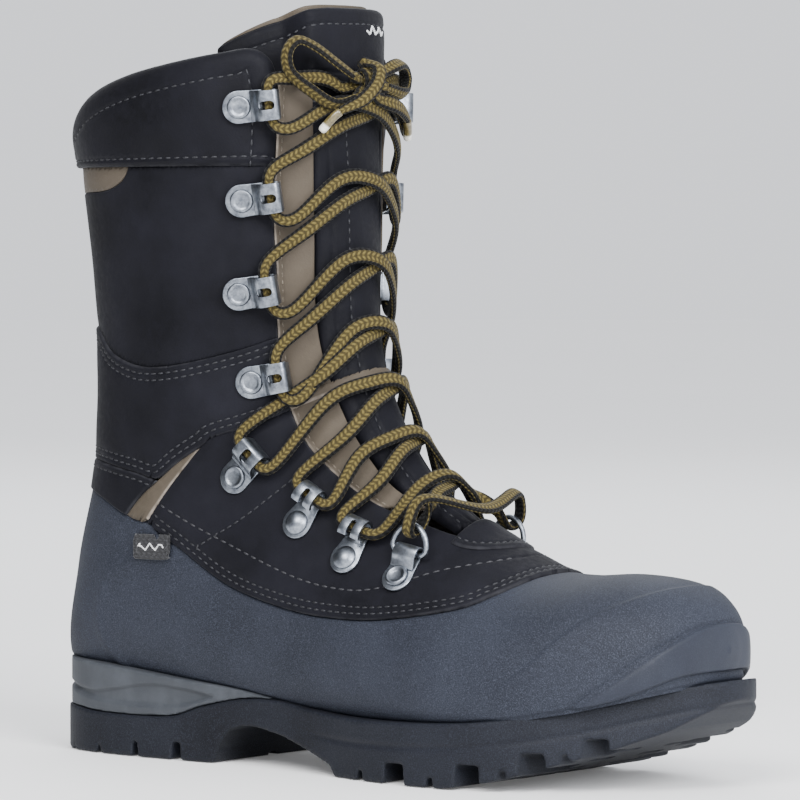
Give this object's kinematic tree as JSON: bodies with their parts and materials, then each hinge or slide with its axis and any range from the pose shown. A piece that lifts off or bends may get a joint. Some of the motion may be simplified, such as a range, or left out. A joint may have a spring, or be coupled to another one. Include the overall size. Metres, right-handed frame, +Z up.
{
  "type": "insulated hunting boot",
  "caption": "High laced insulated hunting boot for the right foot: leather shaft on a rubber foot shell, lugged sole, riveted lace loops, hooks and D-rings, and a padded folding tongue.",
  "frame": {"origin": "centre of the bottom of the box round the boot, on the ground", "axes": "+X to the toe, +Y to the inner side of the right foot, +Z up the shaft"},
  "size_m": [0.314, 0.1103, 0.299],
  "materials": {
    "outsole": "moulded lugged rubber",
    "heel_wedge": "grey moulded cushioning rubber",
    "foot_shell": "charcoal cellular rubber with a fine grain",
    "insole_board": "stiff fibre board",
    "shank": "plain sheet steel",
    "heel_counter": "moulded stiffener",
    "toe_puff": "moulded stiffener",
    "insulation_bootie": "lined insulating laminate",
    "footbed": "felted footbed",
    "vamp_panel": "black nubuck",
    "heel_skirt": "black nubuck",
    "ankle_panel": "black nubuck",
    "shaft_panel": "black nubuck",
    "collar_panel": "padded black leather",
    "collar_insert": "tan leather",
    "ankle_piping_outer": "tan leather",
    "ankle_piping_inner": "tan leather",
    "gusset_outer": "tan leather",
    "gusset_inner": "tan leather",
    "tongue": "padded black leather",
    "throat_patch": "black leather",
    "side_tag": "woven black tag",
    "lace": "flat braided lace, olive and black",
    "bow_knot": "flat braided lace, olive and black",
    "bow_loop_outer": "flat braided lace, olive and black",
    "bow_loop_inner": "flat braided lace, olive and black",
    "lace_end_outer": "flat braided lace, olive and black",
    "lace_end_inner": "flat braided lace, olive and black",
    "aglet_outer": "lace tip",
    "loop_outer_1": "dark pewter-plated steel",
    "loop_outer_2": "dark pewter-plated steel",
    "loop_outer_3": "dark pewter-plated steel",
    "loop_outer_4": "dark pewter-plated steel",
    "loop_outer_5": "dark pewter-plated steel",
    "hook_outer_1": "dark pewter-plated steel",
    "hook_rivet_outer_1": "dark pewter-plated steel",
    "hook_outer_2": "dark pewter-plated steel",
    "hook_rivet_outer_2": "dark pewter-plated steel",
    "ring_clip_outer": "dark pewter-plated steel",
    "ring_rivet_outer": "dark pewter-plated steel",
    "d_ring_outer": "dark pewter-plated steel",
    "aglet_inner": "lace tip",
    "loop_inner_1": "dark pewter-plated steel",
    "loop_inner_2": "dark pewter-plated steel",
    "loop_inner_3": "dark pewter-plated steel",
    "loop_inner_4": "dark pewter-plated steel",
    "loop_inner_5": "dark pewter-plated steel",
    "hook_inner_1": "dark pewter-plated steel",
    "hook_rivet_inner_1": "dark pewter-plated steel",
    "hook_inner_2": "dark pewter-plated steel",
    "hook_rivet_inner_2": "dark pewter-plated steel",
    "ring_clip_inner": "dark pewter-plated steel",
    "ring_rivet_inner": "dark pewter-plated steel",
    "d_ring_inner": "dark pewter-plated steel"
  },
  "bodies": {
    "boot": {"outsole": "outsole", "heel_wedge": "heel_wedge", "foot_shell": "foot_shell", "insole_board": "insole_board", "shank": "shank", "heel_counter": "heel_counter", "toe_puff": "toe_puff", "insulation_bootie": "insulation_bootie", "footbed": "footbed", "vamp_panel": "vamp_panel", "heel_skirt": "heel_skirt", "ankle_panel": "ankle_panel", "shaft_panel": "shaft_panel", "collar_panel": "collar_panel", "collar_insert": "collar_insert", "ankle_piping_outer": "ankle_piping_outer", "ankle_piping_inner": "ankle_piping_inner", "gusset_outer": "gusset_outer", "gusset_inner": "gusset_inner", "throat_patch": "throat_patch", "side_tag": "side_tag", "lace": "lace", "bow_knot": "bow_knot", "bow_loop_outer": "bow_loop_outer", "bow_loop_inner": "bow_loop_inner", "lace_end_outer": "lace_end_outer", "lace_end_inner": "lace_end_inner", "aglet_outer": "aglet_outer", "loop_outer_1": "loop_outer_1", "loop_outer_2": "loop_outer_2", "loop_outer_3": "loop_outer_3", "loop_outer_4": "loop_outer_4", "loop_outer_5": "loop_outer_5", "hook_outer_1": "hook_outer_1", "hook_rivet_outer_1": "hook_rivet_outer_1", "hook_outer_2": "hook_outer_2", "hook_rivet_outer_2": "hook_rivet_outer_2", "ring_clip_outer": "ring_clip_outer", "ring_rivet_outer": "ring_rivet_outer", "aglet_inner": "aglet_inner", "loop_inner_1": "loop_inner_1", "loop_inner_2": "loop_inner_2", "loop_inner_3": "loop_inner_3", "loop_inner_4": "loop_inner_4", "loop_inner_5": "loop_inner_5", "hook_inner_1": "hook_inner_1", "hook_rivet_inner_1": "hook_rivet_inner_1", "hook_inner_2": "hook_inner_2", "hook_rivet_inner_2": "hook_rivet_inner_2", "ring_clip_inner": "ring_clip_inner", "ring_rivet_inner": "ring_rivet_inner"},
    "tongue_flap": {"tongue": "tongue"},
    "ring_outer": {"d_ring_outer": "d_ring_outer"},
    "ring_inner": {"d_ring_inner": "d_ring_inner"}
  },
  "joints": [
    {"name": "tongue_fold", "type": "hinge", "parent": "boot", "child": "tongue_flap", "pos_m": [0.048, 0.002, 0.096], "axis": [0, -1, 0], "range_deg": [0, 5]},
    {"name": "dring_outer_swing", "type": "hinge", "parent": "boot", "child": "ring_outer", "pos_m": [0.03376, -0.03189, 0.08695], "axis": [-0.9821, -0.035, 0.185], "range_deg": [-8, 8]},
    {"name": "dring_inner_swing", "type": "hinge", "parent": "boot", "child": "ring_inner", "pos_m": [0.03393, 0.03155, 0.08697], "axis": [0.9744, -0.078, -0.2111], "range_deg": [-8, 8]}
  ]
}
